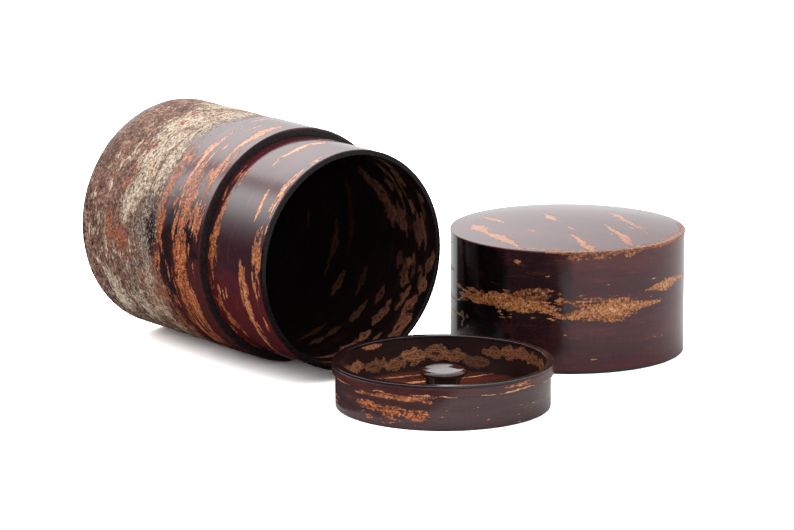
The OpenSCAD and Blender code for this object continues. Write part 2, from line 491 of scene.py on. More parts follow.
@dataclass
class Turned:
    """A solid of revolution with marks painted on its skin.

    Attributes:
        name: the piece's name.
        outline: radius and height of each corner of its half section, anticlockwise; it
            starts and ends on the axis for a solid piece, and is closed for a ring.
        step: longest distance between rows of vertices, in mm.
        segments: vertices round the piece.
        marks: the spots and drifts of each kind painted on it.
        flat: True if the marks lie on a flat sheet seen from above.
        lining: True if its inner side is the one that shows.
        relief: inward depth in mm at given points, angles and heights, if the skin is uneven.
    """

    name: str
    outline: Outline
    step: float = 1.5
    segments: int = 256
    marks: dict[Mark, Marks] = field(default_factory=dict)
    flat: bool = False
    lining: bool = False
    relief: "Relief | None" = None

    HIDDEN_STEP = 6.0

    def section(self) -> Array:
        """The outline with rows added so that no step is longer than step.

        Returns:
            Radius and height of each row.
        """
        solid = self.outline[0][0] == 0.0
        corners = self.outline if solid else [*self.outline, self.outline[0]]
        rows: Outline = []
        for (r0, h0), (r1, h1) in zip(corners, corners[1:]):
            hidden = not solid and (h0 < h1 if self.lining else h0 > h1) and abs(h1 - h0) > 1.0
            longest = self.HIDDEN_STEP if hidden else self.step
            count = max(1, math.ceil(math.hypot(r1 - r0, h1 - h0) / longest))
            rows += [(r0 + (r1 - r0) * k / count, h0 + (h1 - h0) * k / count) for k in range(count)]
        if solid:
            rows.append(corners[-1])
        return np.array(rows)

    def build(self, axis: Axis) -> bpy.types.Object:
        """Makes the mesh, paints its marks and puts it on its body.

        Args:
            axis: where the piece stands.

        Returns:
            The new object.
        """
        rows = self.section()
        solid = rows[0, 0] == 0.0
        rings = rows[1:-1] if solid else rows
        angles = np.arange(self.segments) * 2.0 * math.pi / self.segments
        radius = np.repeat(rings[:, 0], self.segments)
        height = np.repeat(rings[:, 1], self.segments)
        angle = np.tile(angles, len(rings))
        if self.relief is not None:
            radius = radius - self.relief.depth(radius, angle, height)
        if solid:
            radius, angle = np.append(radius, (0.0, 0.0)), np.append(angle, (0.0, 0.0))
            height = np.append(height, (rows[0, 1], rows[-1, 1]))
        mesh = bpy.data.meshes.new(self.name)
        places = axis.points(radius, angle, height).tolist()
        mesh.from_pydata(places, [], self._faces(len(rings), solid))
        mesh.validate()
        self._paint(mesh, radius, angle, height)
        mesh.shade_smooth()
        mesh.set_sharp_from_angle(angle=math.radians(40.0))
        made = bpy.data.objects.new(self.name, mesh)
        bpy.context.scene.collection.objects.link(made)
        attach(made, axis.body)
        LOG.info("%s: %d faces", self.name, len(mesh.polygons))
        return made

    def _faces(self, rings: int, solid: bool) -> list[list[int]]:
        """Vertex numbers of each face.

        Args:
            rings: number of rings of vertices.
            solid: True if the piece closes on its axis at both ends.

        Returns:
            The faces, outside out.
        """
        turn = np.arange(self.segments)
        after = (turn + 1) % self.segments
        faces: list[list[int]] = []
        for ring in range(rings - 1 if solid else rings):
            low, high = ring * self.segments, (ring + 1) % rings * self.segments
            faces += np.stack([low + turn, low + after, high + after, high + turn], -1).tolist()
        if solid:
            foot = rings * self.segments
            last = foot - self.segments
            faces += np.stack([np.full_like(turn, foot), after, turn], -1).tolist()
            faces += np.stack([np.full_like(turn, foot + 1), last + turn, last + after], -1).tolist()
        return faces

    def _paint(self, mesh: bpy.types.Mesh, radius: Array, angle: Array, height: Array) -> None:
        """Writes one attribute for each kind of mark.

        Args:
            mesh: the mesh.
            radius: each vertex's radius in mm.
            angle: each vertex's angle in radians.
            height: each vertex's height in mm.
        """
        x, y = radius * np.cos(angle), radius * np.sin(angle)
        girth_radius = None if self.flat else float(radius.max())
        s, h = (y, -x) if self.flat else (angle * girth_radius, height)
        places = np.stack([x, y, height], -1)
        wander = Lumps(5)
        s = s + 1.2 * wander.at(places * 0.6 + 7.0, 4.0) + 0.5 * wander.at(places + 19.0, 1.4)
        h = h + 0.55 * wander.at(places * 0.6 + 41.0, 4.0) + 0.22 * wander.at(places + 67.0, 1.2)
        for mark in (kind for kind in Mark if kind is not Mark.PALE):
            best, tone = np.full(len(s), Spot.OUTSIDE), np.full(len(s), Spot.pale)
            for index, item in enumerate(self.marks.get(mark, ())):
                for spot in item.spots(index) if isinstance(item, Drift) else (item,):
                    depth = spot.depth(s, h, girth_radius)
                    tone = np.where(depth > best, spot.pale, tone)
                    best = np.maximum(best, depth)
            self._write(mesh, mark, best)
            if mark is Mark.STREAK:
                self._write(mesh, Mark.PALE, tone)

    @staticmethod
    def _write(mesh: bpy.types.Mesh, mark: Mark, values: Array) -> None:
        """Stores one value per vertex."""
        made = mesh.attributes.new(mark.value, "FLOAT", "POINT")
        made.data.foreach_set("value", values.astype(np.float32))


@dataclass
class Relief:
    """Uneven skin of raw bark: shallow pits and flakes, and a smooth polished part.

    Attributes:
        radius: radius of the skin in mm; other surfaces of the piece stay true.
        raw: spots of raw bark.
        deep: depth of the deepest pits in mm.
        seed: the random seed.
    """

    radius: float
    raw: Sequence[Spot]
    deep: float = 0.34
    seed: int = 7

    def depth(self, radius: Array, angle: Array, height: Array) -> Array:
        """How deep each vertex is sunk.

        Args:
            radius: each vertex's radius in mm.
            angle: each vertex's angle in radians.
            height: each vertex's height in mm.

        Returns:
            Depths in mm.
        """
        lumps = Lumps(self.seed)
        places = np.stack([self.radius * np.cos(angle), self.radius * np.sin(angle), height], -1)
        drawn = places * (0.45, 0.45, 1.0)
        wave = (0.26 * lumps.at(drawn, 5.0) + 0.32 * lumps.at(drawn + 31.0, 2.0)
                + 0.42 * lumps.at(places + 57.0, 1.05))
        pits = np.clip(0.5 + 0.9 * wave, 0.0, 1.0)
        inside = np.stack([s.depth(angle * self.radius, height, self.radius) for s in self.raw]).max(0)
        rawness = np.clip(0.5 + 2.0 * inside + 0.8 * lumps.at(drawn + 11.0, 4.0), 0.0, 1.0)
        skin = np.clip((radius - self.radius + 0.25) / 0.2, 0.0, 1.0)
        gentle = 0.03 * (1.0 + lumps.at(drawn + 83.0, 12.0)) / 2.0
        return skin * (gentle + self.deep * rawness * pits)


def eased(corners: Sequence[tuple[float, float, float]], turns: int = 4) -> Outline:
    """Rounds the corners of an outline.

    Args:
        corners: radius, height and rounding radius of each corner, in order.
        turns: straight pieces in each rounded corner.

    Returns:
        The points of the rounded outline.
    """
    out: Outline = []
    for index, (r, h, ease) in enumerate(corners):
        if not ease:
            out.append((r, h))
            continue
        here = np.array((r, h))
        before = np.array(corners[index - 1][:2]) - here
        after = np.array(corners[(index + 1) % len(corners)][:2]) - here
        before, after = before / np.linalg.norm(before), after / np.linalg.norm(after)
        start, end = here + before * ease, here + after * ease
        for k in range(turns + 1):
            t = k / turns
            out.append(tuple((1 - t) ** 2 * start + 2 * t * (1 - t) * here + t * t * end))
    return out


def ring_outline(span: Span, bore: float, ease: float, bore_ease: float) -> Outline:
    """Half section of a ring with eased edges, anticlockwise."""
    return eased([(bore, span.low, bore_ease), (span.radius, span.low, ease),
                  (span.radius, span.high, ease), (bore, span.high, bore_ease)])


def disc_outline(span: Span, ease: float) -> Outline:
    """Half section of a disc with an eased edge, from its foot to its top.

    Args:
        span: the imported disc.
        ease: rounding of its edge in mm.

    Returns:
        Its points.
    """
    half, low, high = 0.5 * span.radius, span.low, span.high
    edge = eased([(half, low, 0.0), (span.radius, low, ease), (span.radius, high, ease),
                  (half, high, 0.0)])
    return [(0.0, low), *edge, (0.0, high)]


# ------------------------------------------------------------------ finishes


def shaded(colour: Colour, share: float) -> Colour:
    """A colour made darker or lighter."""
    return tuple(share * part for part in colour)


@dataclass(frozen=True)
class RawBark:
    """Bark left unpolished: a brown ground under pale lichen, rusty and charred patches.

    Attributes:
        ground: colours of the bark itself, from its pits to its flakes.
        lichen: colours of the pale crust.
        rust: colours of the rusty patches.
        coal: colours of the charred patches.
        rough: roughness.
    """

    ground: Stops = (
        (0.34, (0.034, 0.013, 0.009)), (0.44, (0.112, 0.043, 0.027)), (0.53, (0.210, 0.095, 0.062)),
        (0.64, (0.44, 0.27, 0.185)))
    lichen: Stops = (
        (0.33, (0.062, 0.035, 0.024)), (0.41, (0.250, 0.156, 0.104)), (0.49, (0.47, 0.35, 0.25)),
        (0.60, (0.76, 0.63, 0.475)))
    rust: Stops = (
        (0.34, (0.055, 0.014, 0.008)), (0.46, (0.22, 0.050, 0.018)), (0.58, (0.43, 0.135, 0.050)),
        (0.72, (0.62, 0.34, 0.20)))
    coal: Stops = (
        (0.38, (0.026, 0.017, 0.014)), (0.46, (0.115, 0.070, 0.052)), (0.54, (0.29, 0.20, 0.15)),
        (0.66, (0.54, 0.42, 0.32)))
    rough: float = 0.78

    def over(self, sh: Shader, grain: Sock, even: Sock,
             polished: tuple[Sock, Sock, Sock]) -> tuple[Sock, Sock, Sock]:
        """Lays the unpolished bark over part of the polished sheet.

        Args:
            sh: the material being written.
            grain: coordinates drawn out along the grain.
            even: coordinates with no grain.
            polished: colour, roughness and bump height of the polished sheet.

        Returns:
            Colour, roughness and bump height of the whole sheet.
        """
        colour, rough, height = polished
        half = even * (0.8, 1.0, 0.8)
        speck = sh.noise(half, 0.85, 2.6, 0.75, 0.6)
        grit = sh.noise(half + (50.0, 20.0, 10.0), 0.95, 3.0, 0.75, 0.6)
        blotch = sh.noise(grain, 2.6, 6.0, 0.7, 0.5)
        fade = sh.noise(even, 6.0, 4.0, 0.65) - 0.5
        unpolished = sh.ramp(grit + fade * 0.45, self.ground)
        layers = {Mark.LICHEN: sh.ramp(speck + fade * 0.25, self.lichen),
                  Mark.RUST: sh.ramp(speck, self.rust), Mark.CHARCOAL: sh.ramp(speck, self.coal)}
        for mark, layer in layers.items():
            reach = sh.field(mark) + (blotch - 0.5) * 3.0 + (grit - 0.5) * 2.6
            unpolished = sh.mix(sh.smooth(reach, -0.05, 0.50), unpolished, layer)
        left = sh.smooth(sh.field(Mark.RAW) + (blotch - 0.5) * 1.5 + (grit - 0.5) * 1.3, 0.0, 0.08)
        return (sh.mix(left, colour, unpolished), rough + left * (self.rough - rough),
                height + left * (3.0 * speck + 4.0 * grit))


@dataclass(frozen=True)
class Bark:
    """Polished cherry bark: dark plum skin with ragged orange lenticels.

    Attributes:
        lie: how the sheet lies.
        turn: turn of the grain in degrees, for a flat sheet.
        shift: offset of the pattern in mm.
        deep: the darkest usual skin colour.
        warm: the warmer skin colour.
        maroon: skin colour where the rust-and-shade mark lies: a maroon tone on the body and sleeve, and
            painted shade on the outer lid's side.
        painted_shade: skin colour painted where the char-and-shade mark lies: painted shade on the sides
            turned away from the light.
        fringe: dark edge of the lenticels.
        orange: colour of fresh lenticels.
        cream: colour of pale lenticels.
        gloss: roughness of the polished skin.
        ragged: how broken the lenticels' outlines are.
        raw: the bark of the part that is left unpolished, if any.
        slot: name of a material slot; not used.
    """

    lie: Lie
    turn: float = 0.0
    shift: float = 0.0
    deep: Colour = (0.048, 0.010, 0.015)
    warm: Colour = (0.085, 0.016, 0.020)
    maroon: Colour = (0.120, 0.010, 0.009)
    painted_shade: Colour = (0.014, 0.005, 0.007)
    fringe: Colour = (0.060, 0.015, 0.008)
    orange: Colour = (0.40, 0.105, 0.028)
    cream: Colour = (0.70, 0.40, 0.22)
    gloss: float = 0.1
    ragged: float = 1.0
    raw: RawBark | None = None
    slot: str = "polished_bark"

    def material(self, name: str) -> bpy.types.Material:
        """Writes the material.

        Args:
            name: its name.

        Returns:
            The material.
        """
        sh = Shader.for_material(name)
        grain = sh.place(self.lie, self.turn, self.shift)
        even = sh.place(Lie.EVEN, shift=self.shift)
        long = sh.noise(grain, 1.7, 6.0, 0.66, 0.5)
        short = sh.noise(grain, 0.55, 5.0, 0.7)
        crumbs = sh.noise(even, 1.1, 3.0, 0.7)
        skin = self._skin(sh, grain, even, long, short)
        broken = (long - 0.5) * 1.7 + (short - 0.5) * 1.3 + (crumbs - 0.5) * 1.1
        depth = sh.field(Mark.STREAK) + broken * self.ragged
        cover = sh.smooth(depth, 0.02, 0.16)
        pits = sh.noise(even, 0.6, 2.0, 0.7)
        tone = depth * 0.28 + sh.field(Mark.PALE) * 0.55 + (crumbs - 0.5) * 1.6 + (pits - 0.5) * 1.9
        fill = sh.ramp(tone, ((0.0, self.fringe), (0.20, shaded(self.orange, 0.5)), (0.45, self.orange),
                              (0.95, self.cream)))
        colour = sh.mix(cover, skin, fill)
        rough = self.gloss + 0.05 * short + 0.25 * cover
        height = 0.25 * short + cover * (0.5 + 0.9 * crumbs)
        if self.raw:
            colour, rough, height = self.raw.over(sh, grain, even, (colour, rough, height))
        return sh.finish(colour, rough, sh.bump(height, 0.06), IOR=1.5)

    def _skin(self, sh: Shader, grain: Sock, even: Sock, long: Sock, short: Sock) -> Sock:
        """Colours the polished skin between the lenticels.

        Args:
            sh: the material being written.
            grain: coordinates drawn out along the grain.
            even: coordinates with no grain.
            long: noise of long streaks.
            short: noise of short streaks.

        Returns:
            The skin's colour.
        """
        broad = sh.noise(grain, 7.0, 4.0, 0.6)
        cloud = sh.noise(even, 6.0, 4.0, 0.6)
        skin = sh.mix(sh.smooth(broad, 0.36, 0.66), self.deep, self.warm)
        # rusty: the maroon tone on the body and sleeve, and painted shade on the outer lid's side.
        rusty = sh.field(Mark.RUST) + (cloud - 0.5) * 2.0
        skin = sh.mix(sh.smooth(rusty, -0.5, 0.7), skin, self.maroon)
        # Painted shade: the skin is darkened where the char-and-shade mark lies, on the sides turned away
        # from the light.
        painted_shade_reach = sh.field(Mark.CHARCOAL) + (cloud - 0.5) * 1.6 + (long - 0.5) * 1.2
        skin = sh.mix(sh.smooth(painted_shade_reach, -0.45, 0.45), skin, self.painted_shade)
        ghost = sh.smooth(long + (short - 0.5) * 0.5, 0.58, 0.70)
        skin = sh.mix(ghost * 0.25, skin, shaded(self.orange, 0.4))
        crosswise = (2.2, 2.2, 0.2) if self.lie is Lie.ROUND_LID else (0.35, 2.2, 0.35)
        hair = sh.noise(even * crosswise, 1.0, 2.0)
        return skin * (0.45 + 0.66 * short + 0.44 * hair)


@dataclass(frozen=True)
class LiningBark:
    """Dark satin bark inside a tube, with knotty tan eyes.

    Attributes:
        lie: how the sheet lies.
        shift: offset of the pattern in mm.
        skin: the skin colour.
        brown: skin colour of its paler streaks.
        eye: colour of the eyes.
        heart: colour of the eyes' hearts and rims.
        slot: name of a material slot; not used.
    """

    lie: Lie
    shift: float = 0.0
    skin: Colour = (0.010, 0.006, 0.006)
    brown: Colour = (0.030, 0.011, 0.009)
    eye: Colour = (0.40, 0.155, 0.088)
    heart: Colour = (0.026, 0.010, 0.008)
    slot: str = "inner_bark"

    def material(self, name: str) -> bpy.types.Material:
        """Writes the material.

        Args:
            name: its name.

        Returns:
            The material.
        """
        sh = Shader.for_material(name)
        grain = sh.place(self.lie, shift=self.shift)
        even = sh.place(Lie.EVEN, shift=self.shift)
        fibre = sh.noise(grain, 0.7, 4.0, 0.6)
        long = sh.noise(grain, 1.6, 5.0, 0.65, 0.4)
        crumbs = sh.noise(even, 0.9, 5.0, 0.7, 0.5)
        lumps = sh.noise(even, 2.2, 2.0, 0.5)
        depth = sh.field(Mark.STREAK) + (lumps - 0.5) * 1.5 + (crumbs - 0.5) * 0.9
        cover = sh.smooth(depth, 0.0, 0.10)
        ringed = sh.field(Mark.STREAK) + (lumps - 0.5) * 1.3 + (crumbs - 0.5) * 0.9
        fill = sh.ramp(ringed, (
            (0.00, shaded(self.eye, 0.6)), (0.10, shaded(self.eye, 1.5)), (0.24, self.heart),
            (0.36, self.eye), (0.54, shaded(self.eye, 1.3)), (0.66, self.heart),
            (0.80, shaded(self.eye, 1.4)), (0.96, self.heart)))
        # An eye's pale value sets its brightness; in the sleeve the eyes deeper inside get low values:
        # painted shade.
        fill = fill * (0.12 + 1.2 * sh.field(Mark.PALE)) * (0.2 + 1.6 * crumbs)
        skin = sh.mix(sh.smooth(long, 0.45, 0.7), self.skin, self.brown) * (0.6 + 0.8 * fibre)
        colour = sh.mix(cover, skin, fill)
        normal = sh.bump(0.3 * fibre + cover * (0.5 + crumbs), 0.06)
        return sh.finish(colour, 0.28 + 0.2 * cover, normal, IOR=1.5)


@dataclass(frozen=True)
class Lacquer:
    """Lacquer over a cut edge or a turned knob.

    Attributes:
        colour: the lacquer's colour.
        warm: colour where it has worn thin.
        gloss: roughness.
        grit: depth of its grain in mm.
        lie: how the grain lies.
        shine: strength of its reflections; 0.5 is plain lacquer.
        painted_shade: colour painted where the char-and-shade mark lies: painted shade on the knob's neck.
        slot: name of a material slot; not used.
    """

    colour: Colour = (0.010, 0.009, 0.009)
    warm: Colour = (0.035, 0.026, 0.022)
    gloss: float = 0.34
    grit: float = 0.04
    lie: Lie = Lie.EVEN
    shine: float = 0.5
    painted_shade: Colour = (0.008, 0.004, 0.004)
    slot: str = "black_lacquer"

    def material(self, name: str) -> bpy.types.Material:
        """Writes the material.

        Args:
            name: its name.

        Returns:
            The material.
        """
        sh = Shader.for_material(name)
        fine = sh.noise(sh.place(Lie.EVEN), 0.35, 4.0, 0.6)
        line = sh.noise(sh.place(self.lie), 0.9, 4.0, 0.7)
        colour = sh.mix(sh.smooth(line, 0.42, 0.72), self.colour, self.warm)
        # Painted shade: the lacquer darkens where the char-and-shade mark lies.
        colour = sh.mix(sh.smooth(sh.field(Mark.CHARCOAL), -0.4, 0.3), colour, self.painted_shade)
        return sh.finish(colour, self.gloss + 0.12 * fine, sh.bump(fine, self.grit), IOR=1.5,
                         Specular_IOR_Level=self.shine)


@dataclass(frozen=True)
class PlainWood:
    """Pale core wood with straight grain, hidden under the bark.

    Attributes:
        lie: how the grain lies.
        early: colour of the pale grain.
        late: colour of the dark grain.
    """

    lie: Lie
    early: Colour = (0.60, 0.44, 0.27)
    late: Colour = (0.40, 0.25, 0.13)

    def material(self, name: str) -> bpy.types.Material:
        """Writes the material.

        Args:
            name: its name.

        Returns:
            The material.
        """
        sh = Shader.for_material(name)
        grain = sh.place(self.lie)
        rings = sh.noise(grain, 1.2, 4.0, 0.6, 0.4)
        pores = sh.noise(grain, 0.2, 3.0, 0.6)
        colour = sh.mix(sh.smooth(rings, 0.4, 0.65), self.early, self.late) * (0.8 + 0.4 * pores)
        return sh.finish(colour, 0.62 + 0.1 * pores, sh.bump(pores, 0.03), IOR=1.45)


# ------------------------------------------------------------------ the three sub-assemblies


Finish = Union[Bark, LiningBark, Lacquer]


class Assembly:
    """What the body and the two lids share: an axis and the way that pieces are made."""

    axis: Axis

    def radius(self, node: str) -> float:
        """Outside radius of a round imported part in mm."""
        return self.axis.span(node).radius

    def dress(self, piece: Turned, node: str, finish: Finish) -> None:
        """Builds a piece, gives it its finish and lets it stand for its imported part.

        Args:
            piece: the piece.
            node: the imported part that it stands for.
            finish: its finish.
        """
        made = piece.build(self.axis)
        made.data.materials.append(finish.material(piece.name + "_finish"))
        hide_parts(node)

    def ring(self, name: str, node: str, bore: float, finish: Finish, ease: float = 0.0,
             bore_ease: float | None = None, **skin: object) -> None:
        """Turns a ring in the place of a packed one.

        Args:
            name: the piece's name.
            node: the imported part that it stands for.
            bore: inside radius in mm.
            finish: its finish.
            ease: rounding of its edges in mm.
            bore_ease: rounding of its inner edges in mm, if another.
            skin: other fields of Turned.
        """
        inside = ease if bore_ease is None else bore_ease
        outline = ring_outline(self.axis.span(node), bore, ease, inside)
        self.dress(Turned(name, outline, **skin), node, finish)

    def disc(self, name: str, node: str, finish: Finish, streaks: Marks, ease: float = 0.12) -> None:
        """Turns a disc of bark in the place of a packed one.

        Args:
            name: the piece's name.
            node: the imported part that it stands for.
            finish: its finish.
            streaks: the streaks on its face.
            ease: rounding of its edges in mm.
        """
        outline = disc_outline(self.axis.span(node), ease)
        marks = {Mark.STREAK: streaks}
        self.dress(Turned(name, outline, 1.2, marks=marks, flat=True), node, finish)

    def dress_hidden(self, lie: Lie, *nodes: str) -> None:
        """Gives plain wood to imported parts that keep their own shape.

        Args:
            lie: how their grain lies.
            nodes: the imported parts.
        """
        for node in nodes:
            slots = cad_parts[node].data.materials
            slots.clear()
            slots.append(PlainWood(lie).material(node + "_wood"))
            LOG.info("%s: plain wood", node)


@dataclass
class CaddyBody(Assembly):
    """The lying body: outer tube, sleeve and base.

    Attributes:
        edge_ease: rounding of the bark's cut edges in mm.
        rim_ease: rounding of the mouth's rim in mm, outside and inside.
        fine_step: vertex spacing along the raw bark in mm.
        fine_turns: vertices round the raw bark.
        raw: where the outer tube is left unpolished.
        streaks: lenticels of the outer tube.
        lichen: its pale crust.
        charcoal: its charred patches on the raw bark, and painted shade on the polished bark turned away
            from the light.
        rust: its rusty and maroon patches.
        sleeve_streaks: lenticels of the sleeve.
        sleeve_maroon: its maroon lower side.
        sleeve_painted_shade: painted shade on its darker sides.
        lining_eyes: eyes in the sleeve's lining, brighter near the mouth and dimmer deeper inside: painted
            shade.
        base_streaks: streaks on both sides of the base.
    """

    edge_ease: float = 0.2
    rim_ease: tuple[float, float] = (0.5, 0.3)
    fine_step: float = 0.46
    fine_turns: int = 544
    raw: tuple[Spot, ...] = (
        Spot(0, 21, 96, 46, point=0.25), Spot(60, 20.5, 110, 45, point=0.25),
        Spot(150, 21, 120, 53, point=0.25), Spot(230, 20, 120, 50, point=0.25),
        Spot(300, 21, 110, 44, point=0.25), Spot(112, 40, 24, 16, point=0.5))
    streaks: Marks = (
        Spot(18, 64.6, 28, 4.4, pale=0.85), Spot(46, 65, 18, 3.0, pale=0.5),
        Spot(38, 53.4, 34, 2.4, pale=0.85), Spot(0, 51, 16, 1.4, pale=1.0),
        Spot(116, 61.8, 42, 5.6, turn=3, pale=0.25), Spot(94, 58.4, 42, 6.2, turn=2, pale=0.15),
        Spot(66, 58.4, 36, 5.0, turn=1, pale=0.1), Spot(104, 58.5, 24, 4.5, pale=0.0),
        Drift((44, 122), (54.5, 62.5), 80, 8, 1.6, 1.0, 0.2), Spot(66, 45.2, 44, 3.4, pale=0.1),
        Drift((38, 80), (43, 48), 34, 7, 1.7, -1.0, 0.05),
        Drift((50, 104), (43.5, 47), 30, 7, 1.6, -1.0, 0.15),
        Drift((40, 100), (47, 68), 50, 5, 0.9, 0.0, 0.2), Drift((38, 75), (62, 68), 20, 9, 1.3, 0.0, 0.3),
        Drift((105, 148), (56, 64), 22, 9, 1.3, 3.0, 0.3), Drift((-30, 40), (45, 60), 14, 9, 0.7, 0.0, 0.9),
        Drift((90, 128), (45, 56), 16, 8, 1.0, 0.0, 0.1),
        Drift((130, 330), (44, 69), 90, 12, 1.8, 0.0, 0.35))
    lichen: Marks = (
        Spot(34, 39.0, 54, 13, point=0.5, turn=-3), Spot(22, 26, 30, 17, point=0.5),
        Spot(46, 31, 36, 18, point=0.5), Spot(68, 27, 26, 13, point=0.6, turn=-12),
        Spot(122, 38, 36, 16, point=0.6), Spot(130, 26, 26, 14, point=0.7),
        Spot(126, 11, 28, 14, point=0.7), Spot(0, 36, 40, 14, point=0.6), Spot(-15, 20, 34, 26, point=0.7),
        Drift((-20, 100), (4, 24), 42, 5, 1.8), Drift((90, 150), (6, 42), 60, 5, 1.8),
        Drift((150, 340), (6, 42), 110, 8, 3.0))
    charcoal: Marks = (
        Spot(83, 36.5, 28, 14, point=0.5), Spot(112, 26.5, 14, 4, point=0.5),
        Spot(98, 31, 16, 5, point=0.5), Spot(74, 60, 34, 22, point=1.0), Spot(96, 50.5, 36, 8, point=0.9),
        Drift((58, 90), (50, 68), 16, 5, 3.5), Drift((20, 100), (16, 42), 16, 4, 1.4),
        Drift((95, 140), (16, 46), 18, 5, 1.6), Drift((150, 330), (10, 66), 34, 9, 2.6))
    rust: Marks = (
        Spot(90, 23, 12, 13, point=0.6), Spot(86, 17, 16, 7, point=0.6),
        Drift((92, 145), (28, 46), 46, 5, 2.0), Drift((40, 76), (8, 22), 14, 4, 1.6),
        Spot(120, 54, 60, 44, point=1.0), Drift((10, 60), (22, 34), 10, 4, 1.6),
        Spot(210, 52, 70, 40, point=1.0), Drift((160, 330), (8, 40), 24, 8, 2.6))
    sleeve_streaks: Marks = (
        Drift((16, 68), (97.2, 100), 22, 6, 0.7, 0.0, 0.75), Spot(42, 97.8, 12, 2.0, pale=0.7),
        Spot(82, 98.6, 17, 4.2, pale=0.3), Drift((68, 92), (94.6, 100), 26, 5, 1.1, 0.0, 0.15),
        Drift((90, 120), (96, 100), 12, 7, 0.8, 0.0, 0.3), Spot(56, 92.2, 13, 2.2, pale=0.8),
        Drift((47, 66), (91, 93.5), 5, 6, 0.7, 0.0, 0.7), Spot(112, 90.6, 30, 3.6, turn=-3, pale=0.6),
        Drift((86, 130), (88.4, 92.6), 30, 7, 1.1, -3.0, 0.4), Spot(134, 88.6, 20, 1.6, turn=-3, pale=0.7),
        Spot(12, 83.5, 20, 2.6, pale=0.95), Drift((-4, 30), (82, 85.5), 8, 7, 0.8, 0, 0.95),
        Spot(106, 79.3, 6.5, 0.9, turn=-4, pale=0.95), Spot(107, 77.6, 7.5, 0.9, turn=-4, pale=0.95),
        Spot(105, 75.8, 7, 0.9, pale=0.8), Spot(80, 73.4, 30, 3.4, pale=0.15),
        Drift((36, 114), (71.2, 75.6), 44, 7, 1.1, 0.0, 0.15), Spot(124, 75.5, 10, 5.0, pale=0.2),
        Drift((114, 134), (72, 79), 12, 4, 1.4, 0.0, 0.2),
        Drift((140, 350), (71, 100), 60, 12, 1.6, 0.0, 0.4))
    sleeve_maroon: tuple[Spot, ...] = (Spot(130, 86, 80, 120, point=1.0), Spot(160, 86, 60, 90, point=1.0))
    sleeve_painted_shade: tuple[Spot, ...] = (Spot(74, 84, 32, 120, point=1.0), Spot(250, 84, 60, 40, point=1.0))
    lining_eyes: Marks = (
        Spot(226, 98.2, 9, 4.2, pale=0.5), Spot(237, 96.4, 6, 3.2, pale=0.4),
        Spot(247, 97.2, 10, 4.6, pale=0.5), Spot(262, 99.5, 9, 2.8, pale=0.35),
        Spot(271, 92.4, 9, 3.2, pale=0.3), Spot(299, 97.6, 9, 2.6, pale=0.25),
        Spot(312, 91.6, 11, 4.0, pale=0.35), Spot(325, 93.2, 13, 3.2, pale=0.3),
        Spot(215, 99.2, 8, 2.8, pale=0.35), Spot(196, 85.6, 9, 5.0, pale=0.75),
        Spot(208, 85.6, 9, 5.2, pale=0.65), Spot(225, 84.6, 10, 5.6, pale=0.45),
        Spot(247, 87.2, 7, 4.4, pale=0.35), Spot(258, 82, 7, 4.4, pale=0.15),
        Spot(283, 83.2, 12, 5.6, pale=0.3), Spot(303, 83, 9, 4.0, pale=0.25),
        Spot(317, 86, 13, 3.6, pale=0.25), Spot(184, 87, 15, 3.6, pale=0.5),
        Spot(222, 73, 12, 4.8, pale=0.3), Spot(194, 70, 8, 4.2, pale=0.2),
        Spot(205, 70.4, 7, 3.8, pale=0.15), Spot(284, 78, 13, 7.0, pale=0.4),
        Spot(295, 75.5, 12, 7.5, pale=0.38), Spot(305, 71, 13, 6.2, pale=0.3),
        Drift((218, 264), (83, 100), 22, 6, 2.4, 0.0, 0.35),
        Drift((270, 335), (84, 100), 16, 11, 2.0, 0.0, 0.3),
        Drift((190, 222), (88, 100), 8, 9, 2.2, 0.0, 0.45), Spot(200, 63.5, 18, 3.4, pale=0.1),
        Spot(270, 54, 30, 3.0, pale=0.05), Spot(240, 66, 14, 3.4, pale=0.08),
        Spot(236, 78, 8, 4.0, pale=0.2), Spot(174, 95, 16, 3.6, pale=0.4),
        Drift((-20, 170), (70, 100), 34, 12, 3.6), Drift((0, 360), (10, 60), 24, 16, 3.4, 0.0, 0.1))
    base_streaks: Marks = (
        Spot(-12, 10, 30, 4, 20), Spot(14, -6, 36, 5, 20, 0.5), Spot(-6, -20, 26, 3, 20, 0.2),
        Spot(4, 24, 22, 3, 20, 0.6))

    def __post_init__(self) -> None:
        """Finds the body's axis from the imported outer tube."""
        low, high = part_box("body_bark_wrap")
        middle = (low + high) / 2.0
        foot = Vector((middle.x, high.y, middle.z))
        self.axis = Axis("caddy_body", foot, Vector((0, -1, 0)), Vector((0, 0, 1)))

    def build(self) -> None:
        """Makes every piece of the body."""
        self.build_outer_tube()
        self.build_sleeve()
        self.build_base()
        self.dress_hidden(Lie.ROUND_BODY, "body_core_tube", "sleeve_core_tube", "base_board")

    def build_outer_tube(self) -> None:
        """Bark wrap with its raw part, and the lacquered shoulder ring."""
        marks = {Mark.STREAK: self.streaks, Mark.RAW: self.raw, Mark.LICHEN: self.lichen,
                 Mark.CHARCOAL: self.charcoal, Mark.RUST: self.rust}
        bark = Bark(Lie.ROUND_BODY, shift=3.0, maroon=(0.070, 0.012, 0.011), orange=(0.54, 0.130, 0.030),
                    ragged=0.8, raw=RawBark(), slot="natural_bark")
        self.ring("body_bark", "body_bark_wrap", self.radius("body_core_tube"), bark, self.edge_ease,
                  0.0, step=self.fine_step, segments=self.fine_turns, marks=marks,
                  relief=Relief(self.radius("body_bark_wrap"), self.raw))
        lacquer = Lacquer((0.004, 0.0036, 0.0036), (0.045, 0.038, 0.034), 0.5, 0.3, shine=0.35)
        self.ring("shoulder_edge", "shoulder_ring", self.radius("sleeve_bark_wrap"), lacquer,
                  self.edge_ease, step=0.6)

